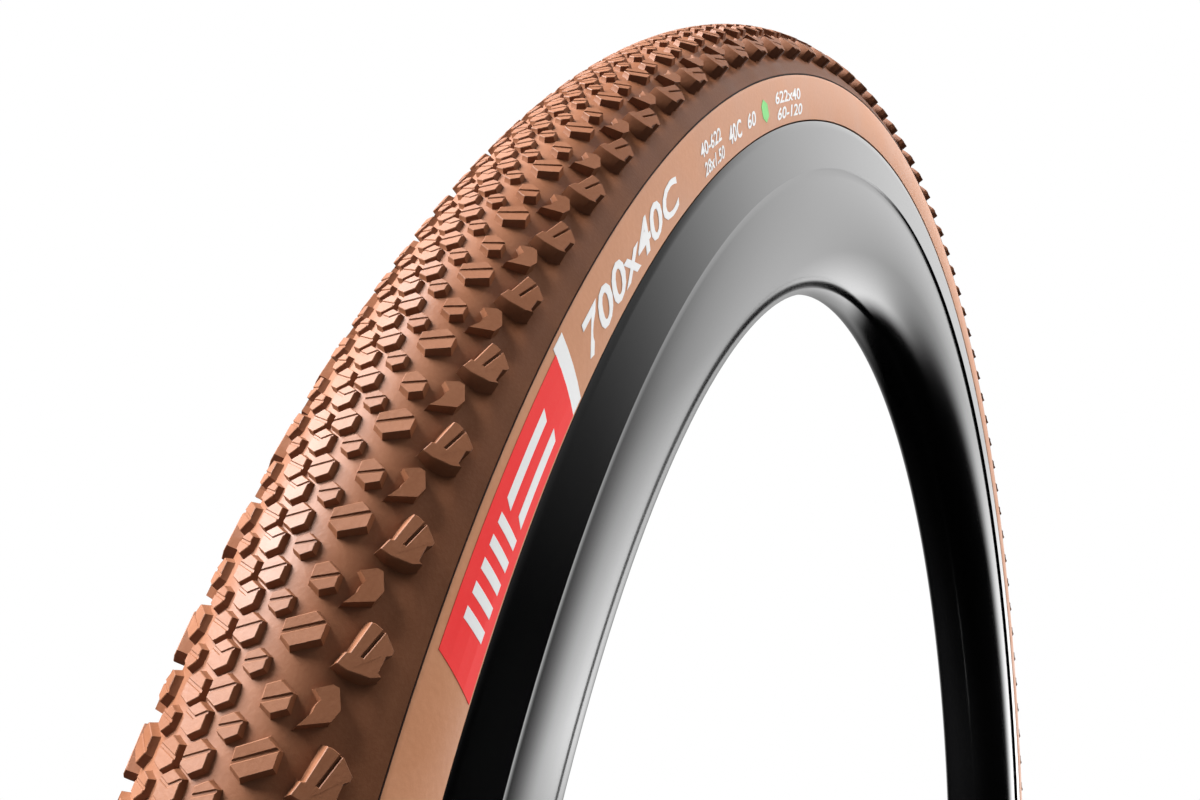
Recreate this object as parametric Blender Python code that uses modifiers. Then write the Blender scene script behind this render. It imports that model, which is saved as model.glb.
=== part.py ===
"""Tubeless gravel tyre, 700 x 40C, seated on its deep rim with its valve.

Frame: origin at the wheel's centre, +Y along the wheel's axis, +Z up.  The left side is -Y.
Lengths below are millimetres.  "radius" is the distance from the wheel's axis, and "offset"
is the distance from the mid-plane along +Y.
"""
import math

import bmesh
import bpy
from mathutils import Matrix, Vector

MM = 0.001

# Driving sizes of the tyre
CROWN_RADIUS = 346.9        # outside of the centre knobs
SECTION_RADIUS = 326.4      # centre of the tyre's cross-section
KNOB_TOP = 20.4             # round envelope of the knob tops in the cross-section
BASE_SIDE, BASE_CROWN = 19.4, 18.4      # half-axes of the rubber between the knobs
SECTION_POWER = 1.7         # 2 would be an ellipse; less drops the shoulders
EDGE_ANGLE, SHOULDER_OUT, SHOULDER_IN, CENTRE_OUT = 78, 58, 38, 13      # degrees from the crown
LUG_COUNT = 65              # coarse lugs in each row round the tyre
LUG_PHASE = 149.64          # degrees, from +X towards +Z, to the middle of one lug
BEAD_SEAT_RADIUS = 311.0    # half of the 622 mm bead seat
BEAD_CORE_RADIUS = 1.2

# Driving sizes of the rim
LIP_RADIUS = 317.0
LIP_OFFSET = 19.1
STEP_RADIUS, STEP_OFFSET = 302.7, 19.6
INNER_RADIUS = 264.0
CHANNEL_RADIUS = 306.8

# Fits and facets
GAP = 0.3
RING_SEGMENTS = 40
RING_PHASE = 4.5            # degrees, so that a flat facet lies across the valve at the bottom
SMALL_SEGMENTS = 14
VALVE_HOLE_RADIUS = 4.2
TAPE_HOLE_RADIUS = 3.7

SIDES = {"left": -1, "right": 1}

COLOURS = {                 # name: (red, green, blue, roughness, metallic)
    "tread_rubber": (0.26, 0.125, 0.075, 0.62, 0.0),
    "belt_fabric": (0.30, 0.29, 0.27, 0.80, 0.0),
    "casing_cord": (0.52, 0.33, 0.20, 0.75, 0.0),
    "tan_rubber": (0.66, 0.37, 0.22, 0.55, 0.0),
    "red_print": (0.90, 0.06, 0.06, 0.45, 0.0),
    "white_print": (0.90, 0.90, 0.90, 0.45, 0.0),
    "bead_cord": (0.60, 0.50, 0.22, 0.60, 0.0),
    "black_rubber": (0.02, 0.02, 0.02, 0.70, 0.0),
    "rim_carbon": (0.01, 0.01, 0.01, 0.12, 0.0),
    "tape_film": (0.85, 0.75, 0.10, 0.35, 0.0),
    "black_aluminium": (0.03, 0.03, 0.03, 0.30, 1.0),
    "brass": (0.70, 0.50, 0.22, 0.30, 1.0),
    "cap_plastic": (0.02, 0.02, 0.02, 0.45, 0.0),
}


def at_facet(radius):
    """Distance from the axis to the middle of a ring's flat facet."""
    return radius * math.cos(math.pi / RING_SEGMENTS)


def clear_scene():
    for obj in list(bpy.data.objects):
        bpy.data.objects.remove(obj, do_unlink=True)


def make_collection(name):
    collection = bpy.data.collections.new(name)
    bpy.context.scene.collection.children.link(collection)
    return collection


def make_material(name):
    red, green, blue, roughness, metallic = COLOURS[name]
    material = bpy.data.materials.get(name)
    if material is None:
        material = bpy.data.materials.new(name)
        material.use_nodes = True
        shader = material.node_tree.nodes["Principled BSDF"]
        shader.inputs["Base Color"].default_value = (red, green, blue, 1.0)
        shader.inputs["Roughness"].default_value = roughness
        shader.inputs["Metallic"].default_value = metallic
    return material


def make_object(name, mesh, material, collection):
    obj = bpy.data.objects.new(name, mesh)
    if material:
        mesh.materials.append(make_material(material))
    collection.objects.link(obj)
    return obj


def layer(side, crown, angles):
    """Points (offset, radius) of one layer of the tyre's section, at angles from the crown."""
    points = []
    for degrees in angles:
        sine = math.sin(math.radians(degrees))
        cosine = math.cos(math.radians(degrees))
        reach = (abs(sine / side) ** SECTION_POWER + abs(cosine / crown) ** SECTION_POWER)
        reach = reach ** (-1 / SECTION_POWER)
        points.append((reach * sine, SECTION_RADIUS + reach * cosine))
    return points


def both_sides(half):
    """A closed loop from its +Y half, listed from the outside inwards, mirrored in the mid-plane."""
    return list(half) + [(-offset, radius) for offset, radius in reversed(half)]


def outward_order(points, runs_down):
    """The loop (offset, radius) in the order that makes a Screw's faces point out of the solid.

    An outline runs down its outer side; a cavity runs up its outer side.
    """
    doubled_area = 0.0
    for (offset, radius), (next_offset, next_radius) in zip(points, points[1:] + points[:1]):
        doubled_area += radius * next_offset - next_radius * offset
    return points if (doubled_area < 0) == runs_down else points[::-1]


def profile_mesh(name, loops, closed=True):
    """Edges at (radius, offset) in the local XZ plane; a second loop is a cavity."""
    mesh = bpy.data.meshes.new(name)
    shape = bmesh.new()
    for index, loop in enumerate(loops):
        points = outward_order(list(loop), index == 0) if closed else list(loop)
        verts = [shape.verts.new((radius * MM, 0, offset * MM)) for offset, radius in points]
        pairs = list(zip(verts, verts[1:]))
        if closed:
            pairs.append((verts[-1], verts[0]))
        for pair in pairs:
            shape.edges.new(pair)
    shape.to_mesh(mesh)
    shape.free()
    return mesh


def add_screw(obj, segments):
    screw = obj.modifiers.new("turn", "SCREW")
    screw.axis = "Z"
    screw.angle = math.tau
    screw.steps = segments
    screw.render_steps = segments
    screw.use_merge_vertices = True
    screw.merge_threshold = 0.00001
    screw.use_smooth_shade = True


def wheel_ring(name, loops, material, collection):
    """A ring turned about the wheel's axis."""
    obj = make_object(name, profile_mesh(name, loops), material, collection)
    obj.rotation_euler = (math.radians(-90), math.radians(RING_PHASE), 0)
    add_screw(obj, RING_SEGMENTS)
    return obj


def cut_hole(obj, radius, cutters):
    """Drill along Z at the bottom of the wheel, where the valve passes."""
    mesh = bpy.data.meshes.new(obj.name + "_drill")
    shape = bmesh.new()
    bmesh.ops.create_cone(shape, cap_ends=True, segments=SMALL_SEGMENTS, radius1=radius * MM,
                          radius2=radius * MM, depth=80 * MM)
    shape.to_mesh(mesh)
    shape.free()
    drill = make_object(mesh.name, mesh, None, cutters)
    drill.location = (0, 0, -(INNER_RADIUS + LIP_RADIUS) / 2 * MM)
    drill.hide_render = True
    drill.display_type = "WIRE"
    cut = obj.modifiers.new("drill", "BOOLEAN")
    cut.operation = "DIFFERENCE"
    cut.solver = "EXACT"
    cut.object = drill


def section_position(vert):
    """Angle round the wheel, angle from the crown and reach from the section's centre."""
    radius = math.hypot(vert.x, vert.y) / MM
    offset = vert.z / MM
    around = math.atan2(vert.y, vert.x)
    return around, math.atan2(offset, radius - SECTION_RADIUS), math.hypot(
        offset, radius - SECTION_RADIUS)


def raise_lug(face, top_reach, keep_around, keep_across):
    """Move an extruded face out to the knob tops and narrow it."""
    middle = face.calc_center_median()
    middle_around, middle_across, _ = section_position(middle)
    for vert in face.verts:
        around, across, _ = section_position(vert.co)
        turn = (around - middle_around + math.pi) % math.tau - math.pi
        around = middle_around + turn * keep_around
        across = middle_across + (across - middle_across) * keep_across
        radius = (SECTION_RADIUS + top_reach * math.cos(across)) * MM
        vert.co = Vector((radius * math.cos(around), radius * math.sin(around),
                          top_reach * math.sin(across) * MM))


def make_tread(collection):
    """The tread cap, turned as a ring, with lugs drawn out of its shoulders and centre."""
    angles = [EDGE_ANGLE, SHOULDER_OUT, SHOULDER_IN, CENTRE_OUT]
    angles = angles + [-degrees for degrees in reversed(angles)]
    outside = layer(BASE_SIDE, BASE_CROWN, angles)
    inside = layer(18.3, 16.9, angles[::-1])
    shape = bmesh.new()
    points = outward_order(outside + inside, True)
    verts = [shape.verts.new((radius * MM, 0, offset * MM)) for offset, radius in points]
    edges = [shape.edges.new(pair) for pair in zip(verts, verts[1:] + verts[:1])]
    bmesh.ops.spin(shape, geom=verts + edges, axis=(0, 0, 1), cent=(0, 0, 0), angle=math.tau,
                   steps=LUG_COUNT, use_merge=True, use_duplicate=False)
    bmesh.ops.recalc_face_normals(shape, faces=shape.faces)
    skin_middle = 17.1          # reach that parts the outer faces from the under side's
    shoulder, centre = [], []
    for face in shape.faces:
        _, across, reach = section_position(face.calc_center_median())
        across = abs(math.degrees(across))
        if reach > skin_middle and SHOULDER_IN < across < SHOULDER_OUT:
            shoulder.append(face)
        elif reach > skin_middle and across < CENTRE_OUT:
            centre.append(face)
    centre_across = math.radians(CENTRE_OUT * 0.75)
    crown_reach = (CROWN_RADIUS - SECTION_RADIUS) / math.cos(centre_across)
    for faces, reach, around, across in ((shoulder, KNOB_TOP, 0.62, 0.80),
                                         (centre, crown_reach, 0.62, 0.75)):
        tops = bmesh.ops.extrude_discrete_faces(shape, faces=faces)["faces"]
        for face in tops:
            raise_lug(face, reach, around, across)
    column = 360 / LUG_COUNT
    turn = Matrix.Rotation(math.radians(column / 2 - LUG_PHASE), 4, "Z")
    bmesh.ops.transform(shape, matrix=turn, verts=shape.verts)
    mesh = bpy.data.meshes.new("tread_cap")
    shape.to_mesh(mesh)
    shape.free()
    mesh.shade_smooth()
    mesh.set_sharp_from_angle(angle=math.radians(30))
    obj = make_object("tread_cap", mesh, "tread_rubber", collection)
    obj.rotation_euler = (math.radians(-90), 0, 0)


def make_belt_and_casing(collection):
    belt_angles = [SHOULDER_OUT, SHOULDER_IN, CENTRE_OUT]
    belt_angles = belt_angles + [-degrees for degrees in reversed(belt_angles)]
    belt = layer(17.95, 16.2, belt_angles) + layer(17.7, 15.5, belt_angles[::-1])
    wheel_ring("puncture_belt", [belt], "belt_fabric", collection)

    crown_angles = [EDGE_ANGLE, SHOULDER_OUT, SHOULDER_IN, CENTRE_OUT]
    outside = [(15.2, 318.2), (17.2, 322.5)] + layer(17.4, 15.2, crown_angles)
    inside = layer(16.5, 14.3, crown_angles[::-1]) + [(16.3, 322.7), (14.3, 318.7)]
    loop = outside + [(-offset, radius) for offset, radius in reversed(outside)]
    loop += [(-offset, radius) for offset, radius in reversed(inside)] + inside
    wheel_ring("casing", [loop], "casing_cord", collection)


def make_sidewalls(collection):
    section = [(18.65, 329.3), (19.4, 324.5), (19.2, 317.3), (15.4, 317.3), (17.6, 322.2),
               (17.5, 329.3)]
    for side, sign in SIDES.items():
        loop = [(sign * offset, radius) for offset, radius in section]
        wheel_ring("sidewall_" + side, [loop], "tan_rubber", collection)


def make_labels(collection):
    """Thin printed patches that lie on flat facets of the sidewalls."""
    section = [(19.13, 328.0), (19.7, 324.5), (19.52, 318.0), (19.77, 318.0), (19.95, 324.5),
               (19.38, 328.0)]
    facet = 360 / RING_SEGMENTS
    prints = {"label_panel": (139.5, 1, "red_print"), "size_mark": (121.5, 2, "white_print")}
    for name, (start, facets, material) in prints.items():
        for side, sign in SIDES.items():
            shape = bmesh.new()
            verts = [shape.verts.new((radius * MM, sign * offset * MM, 0))
                     for offset, radius in section]
            face = shape.faces.new(verts)
            turn = Matrix.Rotation(math.radians(-start), 4, "Y")
            bmesh.ops.transform(shape, matrix=turn, verts=verts)
            bmesh.ops.spin(shape, geom=verts + face.edges[:] + [face], axis=(0, 1, 0),
                           cent=(0, 0, 0), angle=math.radians(-facet * facets), steps=facets,
                           use_duplicate=False)
            bmesh.ops.recalc_face_normals(shape, faces=shape.faces)
            mesh = bpy.data.meshes.new(name + "_" + side)
            shape.to_mesh(mesh)
            shape.free()
            make_object(mesh.name, mesh, material, collection)


def make_beads(collection):
    seat = BEAD_SEAT_RADIUS + GAP + 0.05
    rubber = [(14.45, seat), (14.45, 317.0), (13.0, 317.7), (11.3, 316.3), (11.6, 315.7),
              (13.95, 315.5), (13.95, 312.4), (10.6, 312.3), (10.2, seat)]
    core_offset, core_radius = 12.3, 313.95
    for side, sign in SIDES.items():
        loop = [(sign * offset, radius) for offset, radius in rubber]
        wheel_ring("bead_rubber_" + side, [loop], "black_rubber", collection)
        core = []
        for step in range(6):
            angle = math.tau * step / 6
            core.append((sign * (core_offset + BEAD_CORE_RADIUS * math.cos(angle)),
                         core_radius + BEAD_CORE_RADIUS * math.sin(angle)))
        wheel_ring("bead_core_" + side, [core], "bead_cord", collection)


def make_rim(collection, cutters):
    outer_half = [(7.0, CHANNEL_RADIUS), (9.2, BEAD_SEAT_RADIUS), (14.8, BEAD_SEAT_RADIUS),
                  (14.8, LIP_RADIUS - 0.7), (16.6, LIP_RADIUS), (LIP_OFFSET, LIP_RADIUS - 0.6),
                  (STEP_OFFSET, STEP_RADIUS), (18.5, 301.0), (20.0, 287.0), (18.2, 273.5),
                  (12.0, 266.0), (5.5, INNER_RADIUS)]
    chamber_half = [(6.6, 304.4), (9.4, 308.6), (15.9, 308.6), (17.0, 301.5), (18.0, 287.0),
                    (16.3, 275.0), (10.8, 268.4), (5.2, 266.4)]
    loops = [both_sides(outer_half), both_sides(chamber_half)]
    rim = wheel_ring("rim", loops, "rim_carbon", collection)
    cut_hole(rim, VALVE_HOLE_RADIUS, cutters)

    tape_half = [(6.45, 307.5), (8.65, 311.7), (9.8, 311.7), (9.8, 311.3), (8.95, 311.3),
                 (6.75, 307.1)]
    tape = wheel_ring("rim_tape", [both_sides(tape_half)], "tape_film", collection)
    cut_hole(tape, TAPE_HOLE_RADIUS, cutters)


def valve_piece(name, outline, material, collection, bored=True):
    """A small turned piece on the valve's axis; outline points are (wheel radius, own radius)."""
    points = [(-wheel_radius, radius) for wheel_radius, radius in outline]
    mesh = profile_mesh(name, [points], closed=bored)
    obj = make_object(name, mesh, material, collection)
    add_screw(obj, SMALL_SEGMENTS)
    return obj


def make_valve(collection):
    """Tubeless valve, from its rubber foot in the rim's channel to its cap near the hub side."""
    tape_top = at_facet(307.5)
    foot_low = tape_top + 0.35
    foot_top = foot_low + 3.4
    rim_inside = at_facet(INNER_RADIUS)
    seal_top = rim_inside - 0.35
    seal_low = seal_top - 1.5
    nut_low = seal_low - 0.3 - 4.0
    stem_end, core_end, pin_end = 238.0, 236.0, 229.5

    valve_piece("valve_foot", [(foot_top, 5.2), (foot_top, 3.35), (foot_low, 3.35),
                               (foot_low, 4.4)], "black_rubber", collection)
    head = foot_top + 0.3
    valve_piece("valve_stem", [(head + 1.2, 4.4), (head + 1.2, 1.9), (stem_end + 10, 1.9),
                               (stem_end + 10, 2.35), (stem_end, 2.35), (stem_end, 2.7),
                               (stem_end + 5.5, 2.7), (stem_end + 5.5, 3.0), (head, 3.0),
                               (head, 4.4)], "black_aluminium", collection)
    valve_piece("valve_seal_ring", [(seal_top, 4.9), (seal_top, 3.5), (seal_low, 3.5),
                                    (seal_low, 4.9), ((seal_top + seal_low) / 2, 5.3)],
                "black_rubber", collection)
    valve_piece("valve_rim_nut", [(nut_low + 4, 6.0), (nut_low + 4, 3.3), (nut_low, 3.3),
                                  (nut_low, 5.6), (nut_low + 0.6, 6.2), (nut_low + 3.4, 6.2)],
                "black_aluminium", collection)
    valve_piece("valve_core_body", [(stem_end + 9, 2.05), (stem_end + 9, 1.0), (core_end, 1.0),
                                    (core_end, 2.3), (stem_end - 0.4, 2.3),
                                    (stem_end - 0.4, 2.05)], "brass", collection)
    seal_face = stem_end + 9.35
    valve_piece("valve_core_pin", [(pin_end, 0.0), (pin_end, 0.7), (seal_face + 3.4, 0.7),
                                   (seal_face + 3.4, 0.0)], "brass", collection, bored=False)
    valve_piece("valve_core_seal", [(seal_face + 2.6, 1.5), (seal_face + 2.6, 1.0),
                                    (seal_face, 1.0), (seal_face, 1.5)], "black_rubber",
                collection)
    nut_foot = core_end - 2.8
    valve_piece("valve_core_nut", [(nut_foot, 1.9), (nut_foot, 0.8), (nut_foot - 2.8, 0.8),
                                   (nut_foot - 2.8, 1.9)], "brass", collection)
    cap_open, cap_roof, cap_end = 244.0, 228.6, 227.2
    valve_piece("valve_cap", [(cap_end, 0.0), (cap_end, 2.6), (cap_end + 1.6, 3.7),
                              (cap_open, 4.4), (cap_open, 3.3), (cap_roof + 2, 2.9),
                              (cap_roof, 2.4), (cap_roof, 0.0)], "cap_plastic", collection,
                bored=False)


def main():
    clear_scene()
    parts = make_collection("bicycle_tire")
    cutters = make_collection("cutters")
    make_tread(parts)
    make_belt_and_casing(parts)
    make_sidewalls(parts)
    make_labels(parts)
    make_beads(parts)
    make_rim(parts, cutters)
    make_valve(parts)


main()
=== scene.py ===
"""Looks of the tubeless gravel tyre, 700 x 40C, on its deep rim with its valve.

Frame, as in the CAD: origin at the wheel's centre, +Y along the wheel's axis, +Z up.  The left
side is -Y.  Sizes are millimetres: "radius" is the distance from the wheel's axis and "offset"
the distance from the mid-plane.  Angles round the wheel run from +X towards +Z.
"""
import math

import bmesh
import bpy
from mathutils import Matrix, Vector


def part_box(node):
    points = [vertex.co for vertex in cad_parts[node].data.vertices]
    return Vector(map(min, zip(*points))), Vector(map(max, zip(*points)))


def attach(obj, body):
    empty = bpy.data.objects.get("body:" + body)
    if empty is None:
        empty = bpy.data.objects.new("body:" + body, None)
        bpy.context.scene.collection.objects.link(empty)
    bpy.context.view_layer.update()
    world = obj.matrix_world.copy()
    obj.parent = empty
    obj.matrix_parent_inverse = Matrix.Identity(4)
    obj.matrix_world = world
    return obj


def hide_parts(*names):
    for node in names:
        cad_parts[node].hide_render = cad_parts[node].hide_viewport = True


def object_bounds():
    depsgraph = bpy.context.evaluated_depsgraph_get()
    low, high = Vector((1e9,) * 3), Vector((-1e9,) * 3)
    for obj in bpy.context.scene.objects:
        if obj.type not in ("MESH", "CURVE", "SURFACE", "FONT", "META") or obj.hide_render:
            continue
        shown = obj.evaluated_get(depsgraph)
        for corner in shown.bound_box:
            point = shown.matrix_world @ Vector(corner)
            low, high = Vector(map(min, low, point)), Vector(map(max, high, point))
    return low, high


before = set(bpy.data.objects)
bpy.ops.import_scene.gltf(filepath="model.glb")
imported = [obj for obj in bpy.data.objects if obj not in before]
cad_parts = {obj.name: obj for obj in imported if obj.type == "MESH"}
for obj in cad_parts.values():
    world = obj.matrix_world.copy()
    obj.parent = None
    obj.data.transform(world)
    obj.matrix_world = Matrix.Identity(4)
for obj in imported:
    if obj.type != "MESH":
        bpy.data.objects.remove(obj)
cad_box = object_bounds()

MM = 0.001
AXLE = (0, 1, 0)
HUB = (0, 0, 0)
SIDES = {"left": -1, "right": 1}

# Tyre section: "across" is the angle from the crown, "reach" the distance from SECTION_RADIUS
CROWN_RADIUS = 346.9
SECTION_RADIUS = 326.4
KNOB_TOP = 20.4                 # reach of the round envelope of the knob tops
KNOB_FLARE = 0.7                # how much further the outer knobs reach, at FLARE_END
FLARE_START, FLARE_END = math.radians(40), math.radians(62)
SKIN_CROWN = 19.4               # reach of the skin between the knobs, at the crown
SKIN_SHOULDER = 17.6            # and where the shoulder turns straight
SHOULDER = math.radians(55.9)
TREAD_EDGE = math.radians(78)
SKIN_FALL = 2.0                 # how late the skin drops away from the crown
SKIN_THICKNESS = 1.0
EDGE_BULGE = 0.5                # how much fuller the skin is between shoulder and edge
TREAD_STEPS = 360

# Tan sidewall
WALL_OFFSET, WALL_RADIUS, WALL_CURVE = 19.36, 322.0, 0.012
WALL_TOP, WALL_FOOT = 329.95, 317.2
WALL_INNER_OFFSET = 17.5        # of the wall's inner face, hidden under the tread and the bead
# Ring of painted shade where the tread's edge ends on the wall
SEAM_FOOT, SEAM_TOP, SEAM_OFFSET = 329.86, 330.4, 18.62
PRINT_LIFT = 0.03

# Rim
LIP_RADIUS, LIP_OFFSET = 316.3, 19.1
FOOT_RADIUS, WELL_RADIUS, BED_RADIUS = 317.0, 306.8, 311.0
BED_START, BED_END = 9.6, 14.6
STEP_RADIUS, STEP_OFFSET = 302.7, 19.6
BODY_RADIUS, BODY_OFFSET = 302.3, 18.65
BODY_INNER_RADIUS = 264.3
BODY_SIDE_POWER, BODY_DEPTH_POWER = 2.4, 2.2    # of the superellipse, 2 for a plain ellipse
RIM_STEPS = 300

# Knobs
SINGLE_PITCH, DOUBLE_PITCH = 260, 130       # knobs in a row round the tyre
SINK = 0.25                     # how far a knob goes under the skin
FOOT_FILLET = 0.22
TOP_CHAMFER = 0.10
PAD_DRAFT = 0.15
GROOVE_DEPTH, GROOVE_WIDTH = 0.18, 0.36
KNOB_SHARP = 22                 # degrees past which a knob's edges are drawn sharp


# ---------------------------------------------------------------- places on the wheel

def wheel_point(around, offset, radius):
    """A point in metres, from an angle round the wheel in radians."""
    return Vector((radius * math.cos(around), offset, radius * math.sin(around))) * MM


def skin_reach(across):
    """Reach of the rubber between the knobs."""
    turn = abs(across)
    if turn > SHOULDER:
        share = min((turn - SHOULDER) / (TREAD_EDGE - SHOULDER), 1)
        bulge = EDGE_BULGE * math.sin(math.pi * share) ** 2
        return SKIN_SHOULDER / math.cos(turn - SHOULDER) + bulge
    share = (turn / SHOULDER) ** SKIN_FALL
    return SKIN_CROWN - (SKIN_CROWN - SKIN_SHOULDER) * share * share * (3 - 2 * share)


def knob_reach(across):
    """Reach of the knob tops."""
    share = (abs(across) - FLARE_START) / (FLARE_END - FLARE_START)
    share = min(max(share, 0), 1)
    return KNOB_TOP + KNOB_FLARE * share * share * (3 - 2 * share)


def wall_offset(radius):
    """Offset of the sidewall's outer face."""
    return WALL_OFFSET - WALL_CURVE * (radius - WALL_RADIUS) ** 2


# ---------------------------------------------------------------- pieces

def add_piece(name, shape, material, replaced, body="wheel", sharp=None):
    """Make an object of a closed bmesh, with its faces turned outwards."""
    bmesh.ops.recalc_face_normals(shape, faces=shape.faces)
    if shape.calc_volume(signed=True) < 0:
        bmesh.ops.reverse_faces(shape, faces=shape.faces)
    mesh = bpy.data.meshes.new(name)
    shape.to_mesh(mesh)
    shape.free()
    if sharp is not None:
        mesh.shade_smooth()
        mesh.set_sharp_from_angle(angle=math.radians(sharp))
    mesh.materials.append(material)
    piece = bpy.data.objects.new(name, mesh)
    bpy.context.scene.collection.objects.link(piece)
    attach(piece, body)
    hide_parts(*replaced)
    return piece


def turned_ring(section, steps):
    """A closed ring about the axle from its section, a loop of (offset, radius)."""
    shape = bmesh.new()
    verts = [shape.verts.new((radius * MM, offset * MM, 0)) for offset, radius in section]
    edges = [shape.edges.new(pair) for pair in zip(verts, verts[1:] + verts[:1])]
    bmesh.ops.spin(shape, geom=verts + edges, axis=AXLE, cent=HUB, angle=math.tau, steps=steps,
                   use_merge=True, use_duplicate=False)
    return shape


# ---------------------------------------------------------------- tread

def flat_faces(shape, height):
    """The faces that lie level at a height."""
    return [face for face in shape.faces
            if all(abs(vert.co.z - height) < 1e-4 for vert in face.verts)]


def inside(face, lines):
    """Whether a face's middle lies to the left of every line, each a point and a direction."""
    middle = face.calc_center_median()
    for (x, y), (along_x, along_y) in lines:
        if along_x * (middle.y - y) - along_y * (middle.x - x) < 0:
            return False
    return True


def split_groove(shape, height, lines):
    """Cut a level face along a groove's border lines, whose left sides are the groove."""
    for count, ((x, y), (along_x, along_y)) in enumerate(lines):
        faces = [face for face in flat_faces(shape, height) if inside(face, lines[:count])]
        geom = set(faces)
        for face in faces:
            geom.update(face.verts)
            geom.update(face.edges)
        bmesh.ops.bisect_plane(shape, geom=list(geom), dist=1e-4, plane_co=(x, y, height),
                               plane_no=(-along_y, along_x, 0))
        bmesh.ops.remove_doubles(shape, verts=shape.verts, dist=1e-3)


def straight_groove(corner, slope, width, start=None):
    """Border lines of a groove that runs into a corner of the outline.

    The groove lies to the left of its direction, or to the right for a negative width; start is
    how far from the corner its closed end is.
    """
    along = Vector(slope).normalized()
    far = Vector(corner) + Vector((-along.y, along.x)) * width
    if width < 0:
        along = -along
    lines = [(tuple(corner), tuple(along)), (tuple(far), tuple(-along))]
    if start is not None:
        end = Vector(corner) + Vector(slope).normalized() * start
        lines.insert(0, (tuple(end), (slope[1], -slope[0])))
    return [lines]


def chevron_groove(arm_end, slope, width):
    """Border lines of two arms that meet on the knob's middle line and end at its corners."""
    slope_x, slope_y = slope
    right = arm_end[0] - arm_end[1] * slope_x / slope_y
    left = right - width
    upper = [((0, 0), (1, 0)), ((left, 0), (-slope_x, -slope_y)), ((right, 0), slope)]
    lower = [((0, 0), (-1, 0)), ((left, 0), (slope_x, -slope_y)), ((right, 0), (-slope_x, slope_y))]
    return [upper, lower]


def knob(outline, height, draft, grooves=(), depth=GROOVE_DEPTH):
    """One closed knob in its own flat frame, in mm: x along the tread, y outboard, z up.

    The outline is the top's. The foot is a ring of sloping walls with a fillet, and the pads
    stand on it, parted by the grooves.
    """
    shape = bmesh.new()
    level = height - (depth if grooves else TOP_CHAMFER)
    foot = shape.faces.new([shape.verts.new((x, y, level)) for x, y in outline])
    foot.normal_update()
    wall = level - FOOT_FILLET
    for spread, drop in ((draft * wall, wall), (FOOT_FILLET, FOOT_FILLET + SINK)):
        bmesh.ops.inset_individual(shape, faces=[foot], thickness=-spread, depth=-drop,
                                   use_even_offset=True)
    bmesh.ops.holes_fill(shape, edges=shape.edges, sides=0)
    for lines in grooves:
        split_groove(shape, level, lines)
    tops = flat_faces(shape, level)
    pads = [face for face in tops if not any(inside(face, lines) for lines in grooves)]
    pads = merge_neighbours(shape, pads, level, grooves)
    bmesh.ops.recalc_face_normals(shape, faces=shape.faces)
    shape.normal_update()
    rise = height - level - TOP_CHAMFER
    if rise > 1e-3:
        bmesh.ops.inset_individual(shape, faces=pads, thickness=PAD_DRAFT * rise, depth=rise,
                                   use_even_offset=True)
    bmesh.ops.inset_individual(shape, faces=pads, thickness=TOP_CHAMFER, depth=TOP_CHAMFER,
                               use_even_offset=True)
    return shape


def merge_neighbours(shape, pads, level, grooves):
    """Join pads that a groove's cut has parted where no groove runs."""
    pad_set = set(pads)
    seams = [edge for edge in shape.edges
             if len(edge.link_faces) == 2 and all(face in pad_set for face in edge.link_faces)]
    if seams:
        bmesh.ops.dissolve_edges(shape, edges=seams, use_verts=False)
    return [face for face in flat_faces(shape, level)
            if not any(inside(face, lines) for lines in grooves)]


def knob_height(distance):
    """Height of the knobs of a row over the skin; distance is the row's arc from the crown."""
    across = distance / KNOB_TOP
    return knob_reach(across) - skin_reach(across)


def wrap_knob(shape, distance, side, phase):
    """Bend a flat knob onto the tyre; distance is the row's arc from the crown."""
    row_height = knob_height(distance)
    for vert in shape.verts:
        across = (distance + vert.co.y) / KNOB_TOP
        skin = skin_reach(across)
        reach = skin + vert.co.z / row_height * (knob_reach(across) - skin)
        around = math.radians(phase) - vert.co.x / CROWN_RADIUS
        vert.co = wheel_point(around, side * reach * math.sin(across),
                              SECTION_RADIUS + reach * math.cos(across))


def add_row(tread, outline, distance, phase, count, draft=0.3, grooves=(), depth=GROOVE_DEPTH):
    """Knobs all round the tyre, on both shoulders unless the row runs on the crown."""
    height = knob_height(distance)
    for side in (SIDES.values() if distance else (1,)):
        shape = knob(outline, height, draft, grooves, depth)
        wrap_knob(shape, distance, side, phase)
        geom = shape.verts[:] + shape.edges[:] + shape.faces[:]
        bmesh.ops.spin(shape, geom=geom, axis=AXLE, cent=HUB, steps=count - 1,
                       angle=math.tau * (count - 1) / count, use_duplicate=True)
        row = bpy.data.meshes.new("row")
        shape.to_mesh(row)
        shape.free()
        tread.from_mesh(row)
        bpy.data.meshes.remove(row)


HEXAGON = [(-2.2, 0), (-1.2, -1.8), (1.2, -1.8), (2.2, 0), (1.2, 1.8), (-1.2, 1.8)]
INNER_HEXAGON = [(-1.78, 0), (-0.92, -1.45), (0.85, -1.6), (1.78, 0), (0.97, 1.45), (-0.8, 1.5)]
SIDE_HEXAGON = [(-2.2, 0), (-1.2, -1.7), (1.27, -1.84), (2.2, -0.2), (1.0, 1.8), (-1.16, 1.86)]
LONG_HEXAGON = [(-2.7, -0.81), (-1.49, -2.51), (0.76, -2.67), (2.78, 0.81), (1.54, 2.7),
                (-0.73, 2.7)]
CLAW = [(-3.38, -2.57), (-1.43, -1.35), (-0.41, -1.22), (0.54, -0.81), (1.62, -2.03), (2.78, 0),
        (2.62, 0.95), (0, 2.03), (-1.76, 1.35)]
CLAW_NOTCH = [((0, 0.27), (-1, 0)), ((-0.41, -1.22), (0, -1)), ((0.54, -0.81), (0, 1))]
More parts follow.
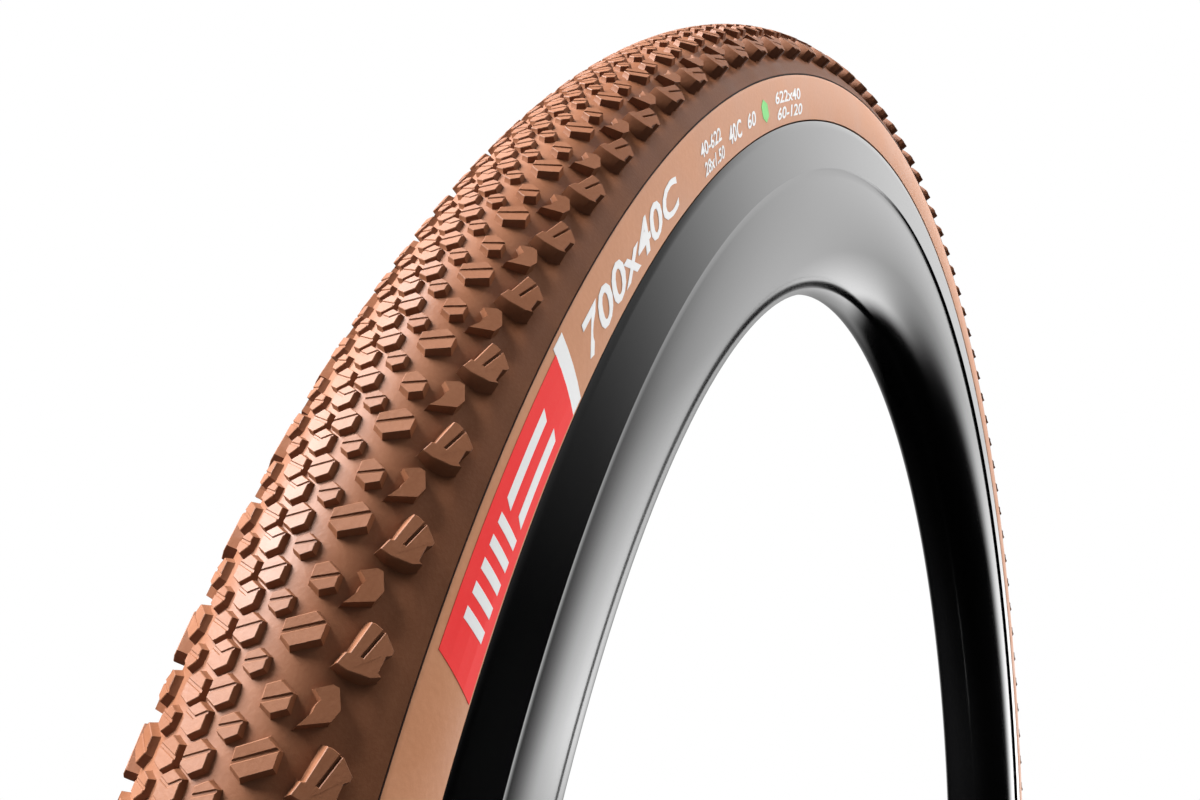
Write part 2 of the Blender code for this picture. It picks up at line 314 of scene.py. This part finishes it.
ARROW = [(-2.97, -3.56), (-1.08, -2.84), (-0.95, -2.30), (3.78, -1.08), (3.70, -0.27),
         (3.15, 1.05), (2.84, 1.49), (1.08, 3.11), (0.27, 2.97), (-0.14, 2.30), (-2.43, 2.03),
         (-2.84, 2.70), (-3.56, 1.22), (-3.51, -1.89)]


def make_tread(material):
    """The brown skin and its knobs: a row on the crown and five more on each side of it.

    A row's distance is in mm along the round envelope, its phase in degrees round the wheel. The
    long and the side hexagons take turns in one row.
    """
    angles = [TREAD_EDGE * step / 30 for step in range(-30, 31)]
    outer = [(skin_reach(a) * math.sin(a), SECTION_RADIUS + skin_reach(a) * math.cos(a))
             for a in angles]
    inner = [((skin_reach(a) - SKIN_THICKNESS) * math.sin(a),
              SECTION_RADIUS + (skin_reach(a) - SKIN_THICKNESS) * math.cos(a))
             for a in angles[::-2]]
    add_piece("tread_base", turned_ring(outer + inner, TREAD_STEPS), material,
              ["tread_cap"], sharp=30)

    centre = bmesh.new()
    add_row(centre, HEXAGON, distance=0, phase=149.09, count=SINGLE_PITCH,
            grooves=chevron_groove((1.2, 1.8), (0.9, 1.8), GROOVE_WIDTH))
    add_row(centre, HEXAGON, distance=2.4, phase=148.44, count=SINGLE_PITCH,
            grooves=straight_groove((1.2, 1.8), (0.41, 1), GROOVE_WIDTH))
    add_row(centre, INNER_HEXAGON, distance=5.5, phase=149.12, count=SINGLE_PITCH,
            grooves=straight_groove((0.97, 1.45), (0.355, 0.935), GROOVE_WIDTH))
    add_piece("knobs_centre", centre, material, ["tread_cap"], sharp=KNOB_SHARP)

    side = bmesh.new()
    add_row(side, LONG_HEXAGON, distance=9.93, phase=149.62, count=DOUBLE_PITCH,
            grooves=straight_groove((1.54, 2.7), (0.48, 0.88), -0.4))
    add_row(side, SIDE_HEXAGON, distance=9.93, phase=148.36, count=DOUBLE_PITCH,
            grooves=straight_groove((1.0, 1.8), (0.433, 0.90), 0.4))
    add_row(side, CLAW, distance=16.06, phase=148.24, count=DOUBLE_PITCH, draft=0.1,
            grooves=[CLAW_NOTCH], depth=0.6)
    add_piece("knobs_side", side, material, ["tread_cap"], sharp=KNOB_SHARP)

    shoulder = bmesh.new()
    add_row(shoulder, ARROW, distance=18.9, phase=149.64, count=DOUBLE_PITCH, draft=0.12,
            grooves=straight_groove((3.15, 1.05), (0.942, 0.335), -0.24, start=-4.6), depth=0.7)
    add_piece("knobs_shoulder", shoulder, material, ["tread_cap"],
              sharp=KNOB_SHARP)


# ---------------------------------------------------------------- sidewalls and prints

def make_sidewall(side, sign, material):
    """The tan ring between the tread's edge and the rim's lip."""
    steps = 14
    outer = [WALL_TOP + (WALL_FOOT - WALL_TOP) * step / steps for step in range(steps + 1)]
    section = [(wall_offset(radius), radius) for radius in outer]
    section[0] = (section[0][0] - 0.12, WALL_TOP)
    section.insert(1, (wall_offset(WALL_TOP - 0.15), WALL_TOP - 0.15))
    section += [(WALL_INNER_OFFSET - 1.9, WALL_FOOT + 0.1), (WALL_INNER_OFFSET + 0.1, 322.2),
                (WALL_INNER_OFFSET, 329.3), (WALL_INNER_OFFSET + 0.2, WALL_TOP)]
    loop = [(sign * offset, radius) for offset, radius in section]
    add_piece("sidewall_skin_" + side, turned_ring(loop, TREAD_STEPS), material,
              ["sidewall_" + side], sharp=40)


def make_painted_edge_shade(side, sign, material):
    """The dark line where the tread's edge ends on the wall: a thin near-black ring of painted
    shade, standing for the shadow in the gap under the tread's edge.
    """
    section = [(WALL_INNER_OFFSET + 0.2, SEAM_FOOT), (SEAM_OFFSET - 0.1, SEAM_FOOT),
               (SEAM_OFFSET, SEAM_FOOT + 0.12), (SEAM_OFFSET, SEAM_TOP - 0.18),
               (SEAM_OFFSET - 0.32, SEAM_TOP), (WALL_INNER_OFFSET + 0.2, SEAM_TOP)]
    loop = [(sign * offset, radius) for offset, radius in section]
    add_piece("painted_edge_shade_" + side, turned_ring(loop, TREAD_STEPS), material,
              ["tread_cap"])


def lay_on_wall(shape, sign, start, foot):
    """Lay a flat print (x along the reading direction, y up, z thick, in mm) on a sidewall."""
    for vert in shape.verts:
        radius = foot + vert.co.y
        around = math.radians(start) - vert.co.x / WALL_RADIUS
        vert.co = wheel_point(around, sign * (wall_offset(radius) + PRINT_LIFT + vert.co.z),
                              radius)


def slanted_patch(length, height, slant, columns, thickness=0.06):
    """A closed flat parallelogram; its top is shifted along by slant."""
    shape = bmesh.new()
    bmesh.ops.create_grid(shape, x_segments=columns, y_segments=4, size=0.5)
    for vert in shape.verts:
        share = vert.co.y + 0.5
        vert.co = Vector(((vert.co.x + 0.5) * length + slant * share, share * height, 0))
    bmesh.ops.solidify(shape, geom=shape.faces[:], thickness=thickness)
    low = min(vert.co.z for vert in shape.verts)
    bmesh.ops.translate(shape, verts=shape.verts, vec=(0, 0, -low))
    return shape


def written(text, length, height, slope=0.25):
    """Closed flat lettering, scaled to a length and a height."""
    curve = bpy.data.curves.new("lettering", "FONT")
    curve.body = text
    curve.shear = slope
    curve.offset = 0.02
    curve.extrude = 0.03
    curve.resolution_u = 3
    writing = bpy.data.objects.new("lettering", curve)
    bpy.context.scene.collection.objects.link(writing)
    bpy.context.view_layer.update()
    evaluated = writing.evaluated_get(bpy.context.evaluated_depsgraph_get())
    mesh = bpy.data.meshes.new_from_object(evaluated)
    shape = bmesh.new()
    shape.from_mesh(mesh)
    bpy.data.objects.remove(writing)
    bpy.data.curves.remove(curve)
    bpy.data.meshes.remove(mesh)
    bmesh.ops.remove_doubles(shape, verts=shape.verts, dist=1e-5)
    low = [min(vert.co[axis] for vert in shape.verts) for axis in range(3)]
    high = [max(vert.co[axis] for vert in shape.verts) for axis in range(3)]
    for vert in shape.verts:
        vert.co = Vector(((vert.co.x - low[0]) / (high[0] - low[0]) * length,
                          (vert.co.y - low[1]) / (high[1] - low[1]) * height,
                          vert.co.z - low[2]))
    return shape


def gather(shapes):
    """Several bmeshes as one."""
    whole = bmesh.new()
    for shape in shapes:
        mesh = bpy.data.meshes.new("part")
        shape.to_mesh(mesh)
        shape.free()
        whole.from_mesh(mesh)
        bpy.data.meshes.remove(mesh)
    return whole


def on_wall(shape, sign, start, foot):
    lay_on_wall(shape, sign, start, foot)
    return shape


def make_prints(side, sign, red, white, green):
    """Red patch with white bars, then the size marks and the green badge, in reading order.

    Starts are angles in degrees, widths are degrees of arc, feet are radii and heights are mm.
    """
    arc = math.radians(1) * WALL_RADIUS         # mm of print in one degree
    patch = slanted_patch(9.6 * arc, 10.6, 0.65 * arc, 40)
    add_piece("red_patch_" + side, on_wall(patch, sign, 149.4, 317.6), red,
              ["label_panel_" + side])
    stripe = on_wall(slanted_patch(0.75 * arc, 11.6, 0.7 * arc, 6), sign, 139.8, 317.6)
    bars = [on_wall(slanted_patch(width * arc, height, 0.22 * arc, 5, 0.09), sign, start, foot)
            for start, width, height, foot in (
                (147.9, 0.34, 6.0, 319.6), (147.2, 0.34, 6.0, 319.6), (146.5, 0.34, 6.0, 319.6),
                (145.8, 0.34, 6.0, 319.6), (145.1, 0.34, 6.0, 319.6), (144.4, 3.2, 1.8, 319.6),
                (144.3, 3.2, 1.8, 323.8))]
    add_piece("white_bars_" + side, gather([stripe] + bars), white,
              ["label_panel_" + side])
    words = [("700x40C", 137.7, 10.2, 6.6, 319.4), ("40-622", 124.6, 2.7, 3.0, 323.0),
             ("28x1.50", 124.6, 2.7, 3.0, 318.8), ("40C", 121.1, 1.9, 4.2, 320.2),
             ("60", 118.4, 1.3, 3.6, 320.6), ("622x40", 113.8, 4.4, 3.2, 323.0),
             ("60-120", 113.8, 4.4, 3.2, 318.8)]
    lines = [on_wall(written(text, width * arc, height), sign, start, foot)
             for text, start, width, height, foot in words]
    add_piece("size_marks_" + side, gather(lines), white, ["size_mark_" + side])
    badge = bmesh.new()
    bmesh.ops.create_cone(badge, cap_ends=True, segments=6, radius1=3.0, radius2=3.0, depth=0.06)
    bmesh.ops.translate(badge, verts=badge.verts, vec=(0, 3.0, 0.03))
    add_piece("green_badge_" + side, on_wall(badge, sign, 115.6, 319.6), green,
              ["size_mark_" + side])


# ---------------------------------------------------------------- rim

def make_rim(material):
    """The rim as one solid ring: tyre bed, lips, flat flanks, a step and a rounded deep body."""
    well = [(0, WELL_RADIUS), (7.0, WELL_RADIUS), (8.2, WELL_RADIUS + 1.2),
            (9.0, BED_RADIUS - 0.6)]
    bed = [(BED_START, BED_RADIUS), (BED_END, BED_RADIUS)]
    lip = [(BED_END + 0.2, BED_RADIUS + 0.3), (BED_END + 0.2, FOOT_RADIUS - 0.8),
           (BED_END + 0.6, FOOT_RADIUS - 0.3), (16.6, FOOT_RADIUS), (18.3, FOOT_RADIUS - 0.05),
           (18.9, FOOT_RADIUS - 0.25)]
    half = well + bed + lip
    flank_steps = 8
    for step in range(flank_steps + 1):
        share = step / flank_steps
        half.append((LIP_OFFSET + (STEP_OFFSET - LIP_OFFSET) * share,
                     LIP_RADIUS + (STEP_RADIUS - LIP_RADIUS) * share))
    half += [(STEP_OFFSET - 0.08, STEP_RADIUS - 0.06), (BODY_OFFSET + 0.1, STEP_RADIUS - 0.16)]
    body_steps = 34
    for step in range(body_steps):
        turn = math.pi / 2 * step / body_steps
        sideways = math.cos(turn) ** (2 / BODY_SIDE_POWER)
        inward = math.sin(turn) ** (2 / BODY_DEPTH_POWER)
        half.append((BODY_OFFSET * sideways,
                     BODY_RADIUS - (BODY_RADIUS - BODY_INNER_RADIUS) * inward))
    half.append((0, BODY_INNER_RADIUS))
    section = half + [(-offset, radius) for offset, radius in half[-2:0:-1]]
    add_piece("rim_shell", turned_ring(section, RIM_STEPS), material, ["rim"],
              sharp=35)


# ---------------------------------------------------------------- valve

def turned_on_stem(section, steps, ridge=0.0, ridge_from=99.0):
    """A solid turned on the valve's axis from (own radius, height) in mm; an open section ends on
    the axis.  Every other line of points beyond ridge_from is raised, for the grip.
    """
    shape = bmesh.new()
    verts = [shape.verts.new((radius * MM, 0, height * MM)) for radius, height in section]
    pairs = list(zip(verts, verts[1:]))
    if section[0][0] > 0:
        pairs.append((verts[-1], verts[0]))
    edges = [shape.edges.new(pair) for pair in pairs]
    bmesh.ops.spin(shape, geom=verts + edges, axis=(0, 0, 1), cent=HUB, angle=math.tau,
                   steps=steps, use_merge=True, use_duplicate=False)
    bmesh.ops.remove_doubles(shape, verts=shape.verts, dist=1e-7)
    for vert in shape.verts:
        radius = math.hypot(vert.co.x, vert.co.y)
        step = round(math.atan2(vert.co.y, vert.co.x) / math.tau * steps)
        if radius > ridge_from * MM and step % 2:
            grown = (radius + ridge * MM) / radius
            vert.co = Vector((vert.co.x * grown, vert.co.y * grown, vert.co.z))
    return shape


def heights(node_name):
    """Lowest and highest point of a CAD node, in mm."""
    low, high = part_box(node_name)
    return low.z / MM, high.z / MM


def make_valve(aluminium, plastic):
    """Threaded stem, knurled nut and fluted cap, turned on the stem's axis."""
    head, end = heights("valve_stem")
    thread_start, thread_end = head + 2.4, end - 6.0
    thread_pitch = 0.8
    turns = int((thread_end - thread_start) / thread_pitch)
    section = [(4.4, head), (4.4, head + 1.2), (3.0, head + 1.2)]
    for turn in range(turns):
        crest = thread_start + thread_pitch * turn
        section += [(2.98, crest), (2.76, crest + thread_pitch / 2)]
    section += [(3.0, end - 5.5), (2.7, end - 5.4), (2.7, end - 0.2), (2.55, end), (2.35, end),
                (2.35, end - 10), (1.9, end - 10), (1.9, head)]
    add_piece("threaded_stem", turned_on_stem(section, 28), aluminium,
              ["valve_stem"], sharp=25)

    low, high = heights("valve_rim_nut")
    section = [(3.3, low + 0.2), (3.5, low), (5.4, low), (5.9, low + 0.5), (5.9, high - 0.5),
               (5.4, high), (3.5, high), (3.3, high - 0.2)]
    add_piece("knurled_rim_nut", turned_on_stem(section, 56, 0.28, 5.7), aluminium,
              ["valve_rim_nut"], body="rim_nut")

    open_end, tip = heights("valve_cap")
    roof = tip - 1.4
    section = [(0, tip), (2.1, tip), (2.6, tip - 0.25), (3.3, tip - 1.2), (3.6, tip - 2.0),
               (4.1, open_end + 1.6), (4.4, open_end + 1.4), (4.4, open_end + 0.2),
               (4.25, open_end), (3.3, open_end), (2.9, roof - 2), (2.4, roof), (0, roof)]
    add_piece("fluted_cap", turned_on_stem(section, 40, 0.22, 3.4), plastic,
              ["valve_cap"], body="cap")


# ---------------------------------------------------------------- materials

def node(tree, kind, inputs=None, **settings):
    """Add a shader node; each input is a value to set or a socket to link."""
    made = tree.nodes.new("ShaderNode" + kind)
    for name, value in settings.items():
        setattr(made, name, value)
    for socket, value in (inputs or {}).items():
        if isinstance(value, bpy.types.NodeSocket):
            tree.links.new(value, made.inputs[socket])
        else:
            made.inputs[socket].default_value = value
    return made


def mixed(tree, share, first, second):
    """Two colours mixed by a share from 0 to 1."""
    mix = node(tree, "Mix", {0: share, 6: first, 7: second}, data_type="RGBA")
    return mix.outputs[2]


def ranged(tree, value, low, high, to_low, to_high):
    """A value carried from one range to another."""
    return node(tree, "MapRange", {0: value, 1: low, 2: high, 3: to_low, 4: to_high}).outputs[0]


def new_group(name, inputs, outputs):
    group = bpy.data.node_groups.new(name, "ShaderNodeTree")
    for label, kind, value in inputs:
        socket = group.interface.new_socket(label, in_out="INPUT", socket_type="NodeSocket" + kind)
        socket.default_value = value
    for label, kind in outputs:
        group.interface.new_socket(label, in_out="OUTPUT", socket_type="NodeSocket" + kind)
    return group, group.nodes.new("NodeGroupInput"), group.nodes.new("NodeGroupOutput")


def rubber_skin_group():
    """Moulded rubber: soft patches of shade, fine grain and dust in the grain."""
    group, given, out = new_group(
        "rubber_skin",
        [("Colour", "Color", (0.1, 0.05, 0.03, 1)), ("Pale", "Color", (0.2, 0.1, 0.06, 1)),
         ("Patch Scale", "Float", 60.0), ("Grain Scale", "Float", 1500.0),
         ("Smooth", "Float", 0.4), ("Rough", "Float", 0.6)],
        [("Colour", "Color"), ("Roughness", "Float"), ("Height", "Float")])
    place = node(group, "TexCoord").outputs["Object"]
    patches = node(group, "TexNoise", {"Vector": place, "Scale": given.outputs["Patch Scale"],
                                       "Detail": 3.0}).outputs[0]
    grain = node(group, "TexNoise", {"Vector": place, "Scale": given.outputs["Grain Scale"],
                                     "Detail": 4.0, "Roughness": 0.6}).outputs[0]
    both = node(group, "Math", {0: ranged(group, patches, 0.35, 0.7, 0.0, 0.6),
                                1: ranged(group, grain, 0.45, 0.75, 0.0, 0.4)}, operation="ADD")
    group.links.new(mixed(group, both.outputs[0], given.outputs["Colour"], given.outputs["Pale"]),
                    out.inputs["Colour"])
    rough = node(group, "MapRange", {0: patches, 1: 0.3, 2: 0.7, 3: given.outputs["Smooth"],
                                     4: given.outputs["Rough"]})
    group.links.new(rough.outputs[0], out.inputs["Roughness"])
    group.links.new(grain, out.inputs["Height"])
    return group


def new_material(name):
    material = bpy.data.materials.new(name)
    material.use_nodes = True
    return material, material.node_tree, material.node_tree.nodes["Principled BSDF"]


def use_group(tree, group, values):
    made = tree.nodes.new("ShaderNodeGroup")
    made.node_tree = group
    for name, value in values.items():
        made.inputs[name].default_value = value
    return made


def bump(tree, shader, height, depth, strength=1.0):
    raised = node(tree, "Bump", {"Height": height, "Distance": depth, "Strength": strength})
    tree.links.new(raised.outputs[0], shader.inputs["Normal"])


def rubber(name, skin, colour, pale, smooth, rough, patch_scale=60.0, grain_scale=1500.0,
           depth=0.00004, gloss=0.5):
    material, tree, shader = new_material(name)
    look = use_group(tree, skin, {"Colour": (*colour, 1), "Pale": (*pale, 1), "Smooth": smooth,
                                  "Rough": rough, "Patch Scale": patch_scale,
                                  "Grain Scale": grain_scale})
    tree.links.new(look.outputs["Colour"], shader.inputs["Base Color"])
    tree.links.new(look.outputs["Roughness"], shader.inputs["Roughness"])
    shader.inputs["Specular IOR Level"].default_value = gloss
    bump(tree, shader, look.outputs["Height"], depth)
    return material


def carbon(name, skin):
    material, tree, shader = new_material(name)
    look = use_group(tree, skin, {"Colour": (0.0015, 0.0015, 0.0016, 1),
                                  "Pale": (0.003, 0.003, 0.0032, 1), "Smooth": 0.10,
                                  "Rough": 0.16, "Patch Scale": 9.0, "Grain Scale": 700.0})
    tree.links.new(look.outputs["Colour"], shader.inputs["Base Color"])
    tree.links.new(look.outputs["Roughness"], shader.inputs["Roughness"])
    shader.inputs["Coat Weight"].default_value = 0.4
    shader.inputs["Coat Roughness"].default_value = 0.05
    return material


def weave_group():
    """Threads that cross at right angles, for fabric and cord."""
    group, given, out = new_group(
        "crossed_threads",
        [("Thread", "Color", (0.5, 0.5, 0.5, 1)), ("Gap", "Color", (0.2, 0.2, 0.2, 1)),
         ("Scale", "Float", 400.0)],
        [("Colour", "Color"), ("Roughness", "Float"), ("Height", "Float")])
    place = node(group, "TexCoord").outputs["Object"]
    turned = node(group, "Mapping", {"Vector": place, "Rotation": (0.4, math.radians(45), 0.3)})
    waves = []
    for direction in ("X", "Z"):
        wave = node(group, "TexWave", {"Vector": turned.outputs[0], "Distortion": 0.6,
                                       "Scale": given.outputs["Scale"]}, bands_direction=direction)
        waves.append(wave.outputs["Fac"])
    height = node(group, "Math", {0: waves[0], 1: waves[1]}, operation="MULTIPLY").outputs[0]
    group.links.new(mixed(group, height, given.outputs["Gap"], given.outputs["Thread"]),
                    out.inputs["Colour"])
    group.links.new(ranged(group, height, 0.0, 1.0, 0.9, 0.6), out.inputs["Roughness"])
    group.links.new(height, out.inputs["Height"])
    return group


def cord_lines_group():
    """Fine cords that lie slantwise across a ring about the Y axis; gives their height."""
    group, given, out = new_group(
        "slanted_cords", [("Count", "Float", 900.0), ("Lean", "Float", 4000.0)],
        [("Height", "Float")])
    parts = node(group, "SeparateXYZ", {0: node(group, "TexCoord").outputs["Object"]}).outputs
    around = node(group, "Math", {0: parts["Z"], 1: parts["X"]}, operation="ARCTAN2")
    flat = node(group, "CombineXYZ", {"X": parts["X"], "Z": parts["Z"]})
    radius = node(group, "VectorMath", {0: flat.outputs[0]}, operation="LENGTH")
    lean = node(group, "Math", {0: radius.outputs["Value"], 1: given.outputs["Lean"]},
                operation="MULTIPLY")
    phase = node(group, "Math", {0: around.outputs[0], 1: given.outputs["Count"],
                                 2: lean.outputs[0]}, operation="MULTIPLY_ADD")
    height = node(group, "Math", {0: phase.outputs[0]}, operation="SINE")
    group.links.new(height.outputs[0], out.inputs["Height"])
    return group


def add_cord_relief(material):
    """Let the casing's cords show faintly through a thin wall."""
    tree = material.node_tree
    shader = tree.nodes["Principled BSDF"]
    grain = shader.inputs["Normal"].links[0].from_node
    cords = use_group(tree, cord_lines_group(), {"Count": 900.0, "Lean": 2800.0})
    relief = node(tree, "Bump", {"Height": cords.outputs["Height"], "Distance": 0.00001,
                                 "Strength": 0.15, "Normal": grain.outputs[0]})
    tree.links.new(relief.outputs[0], shader.inputs["Normal"])


def woven(name, threads, thread, gap, scale, depth=0.0001):
    material, tree, shader = new_material(name)
    look = use_group(tree, threads, {"Thread": (*thread, 1), "Gap": (*gap, 1), "Scale": scale})
    tree.links.new(look.outputs["Colour"], shader.inputs["Base Color"])
    tree.links.new(look.outputs["Roughness"], shader.inputs["Roughness"])
    bump(tree, shader, look.outputs["Height"], depth)
    return material


def metal(name, skin, colour, pale, smooth, rough):
    material, tree, shader = new_material(name)
    look = use_group(tree, skin, {"Colour": (*colour, 1), "Pale": (*pale, 1), "Smooth": smooth,
                                  "Rough": rough, "Patch Scale": 250.0, "Grain Scale": 4000.0})
    tree.links.new(look.outputs["Colour"], shader.inputs["Base Color"])
    tree.links.new(look.outputs["Roughness"], shader.inputs["Roughness"])
    shader.inputs["Metallic"].default_value = 1.0
    bump(tree, shader, look.outputs["Height"], 0.00001)
    return material


def finish_cad_nodes(finishes):
    """Give the CAD nodes that stay their procedural materials."""
    for material, names in finishes:
        for name in names:
            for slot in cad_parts[name].material_slots:
                slot.material = material


# ---------------------------------------------------------------- camera, light and floor

CAMERA_PLACE = (-0.4094, -0.1097, 0.1901)
CAMERA_HEADING, CAMERA_RISE = math.radians(62.89), math.radians(5.27)
CAMERA_LENS = 33.66


def make_camera():
    camera = bpy.data.objects.new("camera", bpy.data.cameras.new("camera"))
    camera.data.lens = CAMERA_LENS
    camera.data.sensor_width = 36
    camera.data.clip_start = 0.01
    camera.location = CAMERA_PLACE
    forward = Vector((math.sin(CAMERA_HEADING) * math.cos(CAMERA_RISE),
                      math.cos(CAMERA_HEADING) * math.cos(CAMERA_RISE), math.sin(CAMERA_RISE)))
    camera.rotation_euler = forward.to_track_quat("-Z", "Y").to_euler()
    bpy.context.scene.collection.objects.link(camera)
    bpy.context.scene.camera = camera


def add_light(name, direction, distance, size, power, in_gloss=True):
    light = bpy.data.lights.new(name, "AREA")
    light.size = size
    light.energy = power
    lamp = bpy.data.objects.new(name, light)
    lamp.location = Vector(direction).normalized() * distance
    lamp.rotation_euler = (-lamp.location).to_track_quat("-Z", "Y").to_euler()
    lamp.visible_camera = False
    lamp.visible_glossy = in_gloss
    bpy.context.scene.collection.objects.link(lamp)


def make_world():
    """White for the camera, a soft grey room for the object and a brighter one in its gloss."""
    world = bpy.data.worlds.new("studio")
    world.use_nodes = True
    bpy.context.scene.world = world
    tree = world.node_tree
    tree.nodes.clear()
    direction = node(tree, "SeparateXYZ", {0: node(tree, "TexCoord").outputs["Generated"]})

    def smooth(axis, low, high, strength):
        made = node(tree, "MapRange", {0: direction.outputs[axis], 1: low, 2: high, 3: 0.0,
                                       4: strength}, interpolation_type="SMOOTHSTEP")
        return made.outputs[0]

    def product(*values):
        total = values[0]
        for value in values[1:]:
            total = node(tree, "Math", {0: total, 1: value}, operation="MULTIPLY").outputs[0]
        return total

    low_glow = node(tree, "MapRange", {0: direction.outputs["Z"], 1: -0.25, 2: 0.05, 3: 3.4,
                                       4: 1.35}).outputs[0]
    fade = node(tree, "Math", {0: 1.0, 1: smooth("Y", -0.25, 0.55, 1.0)}, operation="SUBTRACT")
    window = product(low_glow, fade.outputs[0], smooth("Y", -0.52, -0.29, 1.0),
                     smooth("Z", -0.46, -0.24, 1.0), smooth("X", 0.4, 0.7, 1.0))
    glow = node(tree, "Math", {0: window, 1: smooth("Z", -0.1, 0.5, 0.5)}, operation="ADD")
    path = node(tree, "LightPath")
    mirrored = node(tree, "Background", {"Strength": glow.outputs[0]})
    room = node(tree, "Background", {"Strength": smooth("Z", -0.3, 0.8, 0.38)})
    backdrop = node(tree, "Background", {"Strength": 1.0, "Color": (1, 1, 1, 1)})
    lit = node(tree, "MixShader", {0: path.outputs["Is Glossy Ray"], 1: room.outputs[0],
                                   2: mirrored.outputs[0]})
    mix = node(tree, "MixShader", {0: path.outputs["Is Camera Ray"], 1: lit.outputs[0],
                                   2: backdrop.outputs[0]})
    out = node(tree, "OutputWorld")
    tree.links.new(mix.outputs[0], out.inputs[0])


def make_floor():
    shape = bmesh.new()
    bmesh.ops.create_grid(shape, x_segments=1, y_segments=1, size=6)
    mesh = bpy.data.meshes.new("floor")
    shape.to_mesh(mesh)
    shape.free()
    floor = bpy.data.objects.new("floor", mesh)
    floor.location.z = cad_box[0].z
    material, tree, shader = new_material("floor_paint")
    shader.inputs["Base Color"].default_value = (0.08, 0.08, 0.08, 1)
    shader.inputs["Roughness"].default_value = 0.9
    lit = node(tree, "Emission", {"Color": (1, 1, 1, 1), "Strength": 1.0})
    seen = node(tree, "LightPath").outputs["Is Camera Ray"]
    mix = node(tree, "MixShader", {0: seen, 1: shader.outputs[0], 2: lit.outputs[0]})
    tree.links.new(mix.outputs[0], tree.nodes["Material Output"].inputs["Surface"])
    mesh.materials.append(material)
    bpy.context.scene.collection.objects.link(floor)
    floor.visible_glossy = False


# ---------------------------------------------------------------- all of it

def main():
    make_camera()
    make_world()
    make_floor()
    add_light("key", direction=(-0.50, 0.60, 0.87), distance=3.0, size=1.8, power=500)
    add_light("fill", direction=(1.0, -0.9, 1.2), distance=1.45, size=1.5, power=36,
              in_gloss=False)
    bpy.context.scene.view_settings.view_transform = "Standard"

    skin = rubber_skin_group()
    brown = rubber("brown_tread_rubber", skin, (0.150, 0.055, 0.024), (0.19, 0.078, 0.038),
                   0.46, 0.62, gloss=0.22)
    tan = rubber("tan_wall_rubber", skin, (0.60, 0.27, 0.14), (0.67, 0.32, 0.18), 0.36, 0.48,
                 grain_scale=900.0, gloss=0.5)
    add_cord_relief(tan)
    # Near-black colour: painted shade of the gap under the tread's edge
    seam_shade = rubber("seam_shade_rubber", skin, (0.018, 0.008, 0.005), (0.03, 0.013, 0.008), 0.5, 0.7,
                  gloss=0.2)
    red = rubber("red_ink", skin, (1.0, 0.06, 0.06), (1.0, 0.085, 0.08), 0.35, 0.5,
                 depth=0.00001, gloss=0.15)
    white = rubber("white_ink", skin, (0.93, 0.93, 0.93), (1.0, 1.0, 1.0), 0.35, 0.5,
                   depth=0.00001)
    green = rubber("green_ink", skin, (0.22, 0.72, 0.20), (0.26, 0.80, 0.24), 0.35, 0.5,
                   depth=0.00001)
    make_tread(brown)
    for side, sign in SIDES.items():
        make_sidewall(side, sign, tan)
        make_painted_edge_shade(side, sign, seam_shade)
        make_prints(side, sign, red, white, green)
    make_rim(carbon("gloss_carbon", skin))
    anodised = metal("black_anodised_aluminium", skin, (0.03, 0.03, 0.03), (0.06, 0.06, 0.06),
                     0.25, 0.38)
    brass = metal("turned_brass", skin, (0.70, 0.48, 0.20), (0.80, 0.60, 0.30), 0.22, 0.36)
    plastic = rubber("cap_plastic_black", skin, (0.015, 0.015, 0.015), (0.03, 0.03, 0.03), 0.35,
                     0.5, patch_scale=200.0, grain_scale=3000.0, depth=0.00002)
    make_valve(anodised, plastic)

    threads = weave_group()
    black = rubber("black_seal_rubber", skin, (0.015, 0.015, 0.015), (0.03, 0.03, 0.03), 0.55,
                   0.75, patch_scale=200.0, grain_scale=3000.0)
    finish_cad_nodes([
        (woven("belt_weave", threads, (0.30, 0.29, 0.27), (0.12, 0.11, 0.10), 700.0),
         ["puncture_belt"]),
        (woven("casing_cords", threads, (0.52, 0.33, 0.20), (0.30, 0.18, 0.10), 900.0),
         ["casing"]),
        (woven("bead_cords", threads, (0.60, 0.50, 0.22), (0.35, 0.28, 0.10), 1200.0),
         ["bead_core_left", "bead_core_right"]),
        (black, ["bead_rubber_left", "bead_rubber_right", "valve_foot", "valve_seal_ring",
                 "valve_core_seal"]),
        (rubber("yellow_tape_film", skin, (0.80, 0.68, 0.08), (0.88, 0.78, 0.15), 0.25, 0.4,
                depth=0.00001), ["rim_tape"]),
        (brass, ["valve_core_body", "valve_core_pin", "valve_core_nut"])])


main()
